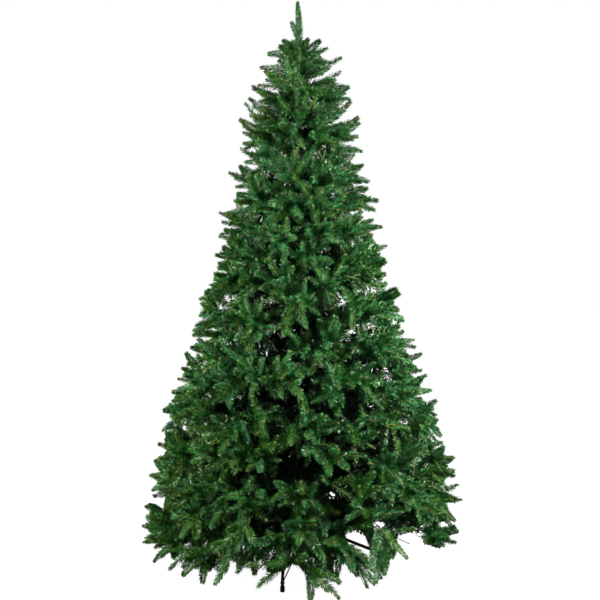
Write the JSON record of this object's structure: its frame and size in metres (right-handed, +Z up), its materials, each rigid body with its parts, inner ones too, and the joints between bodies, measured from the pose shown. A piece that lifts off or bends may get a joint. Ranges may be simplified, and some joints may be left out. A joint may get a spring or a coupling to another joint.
{
  "type": "artificial spruce tree",
  "caption": "Artificial spruce tree: a dense, straight-sided cone of needled boughs around a stepped pole, free-standing on a metal stand with splayed legs.",
  "frame": {"origin": "on the floor under the pole, in the middle of the stand's feet", "axes": "+Z up along the pole to the leader; -Y is the front, which one leg of the stand faces; +X is to the right seen from the front"},
  "size_m": [1.3766, 1.3975, 2.4],
  "materials": {
    "needles": "green PVC needles, slightly glossy",
    "boughs": "steel wire wrapped in dark brown and green tape",
    "pole": "dark green enamel, satin",
    "stand": "black enamel, satin",
    "plastic": "black, moulded"
  },
  "bodies": {
    "root": {"trunk_pole": "pole", "foliage_leader": "needles", "bough_skirt_1": "boughs", "foliage_skirt_1": "needles", "bough_skirt_2": "boughs", "foliage_skirt_2": "needles", "bough_skirt_3": "boughs", "foliage_skirt_3": "needles", "bough_skirt_4": "boughs", "foliage_skirt_4": "needles", "bough_skirt_5": "boughs", "foliage_skirt_5": "needles", "bough_lower_1": "boughs", "foliage_lower_1": "needles", "bough_lower_2": "boughs", "foliage_lower_2": "needles", "bough_lower_3": "boughs", "foliage_lower_3": "needles", "bough_lower_4": "boughs", "foliage_lower_4": "needles", "bough_middle_1": "boughs", "foliage_middle_1": "needles", "bough_middle_2": "boughs", "foliage_middle_2": "needles", "bough_middle_3": "boughs", "foliage_middle_3": "needles", "bough_middle_4": "boughs", "foliage_middle_4": "needles", "bough_upper_1": "boughs", "foliage_upper_1": "needles", "bough_upper_2": "boughs", "foliage_upper_2": "needles", "bough_upper_3": "boughs", "foliage_upper_3": "needles", "bough_upper_4": "boughs", "foliage_upper_4": "needles", "bough_high_1": "boughs", "foliage_high_1": "needles", "bough_high_2": "boughs", "foliage_high_2": "needles", "bough_high_3": "boughs", "foliage_high_3": "needles", "bough_top_1": "boughs", "foliage_top_1": "needles", "bough_top_2": "boughs", "foliage_top_2": "needles", "stand_socket": "stand", "stand_thumbscrew": "stand", "stand_leg_1": "stand", "stand_brace_1": "stand", "stand_foot_1": "plastic", "stand_leg_2": "stand", "stand_brace_2": "stand", "stand_foot_2": "plastic", "stand_leg_3": "stand", "stand_brace_3": "stand", "stand_foot_3": "plastic", "stand_leg_4": "stand", "stand_brace_4": "stand", "stand_foot_4": "plastic"}
  },
  "joints": []
}
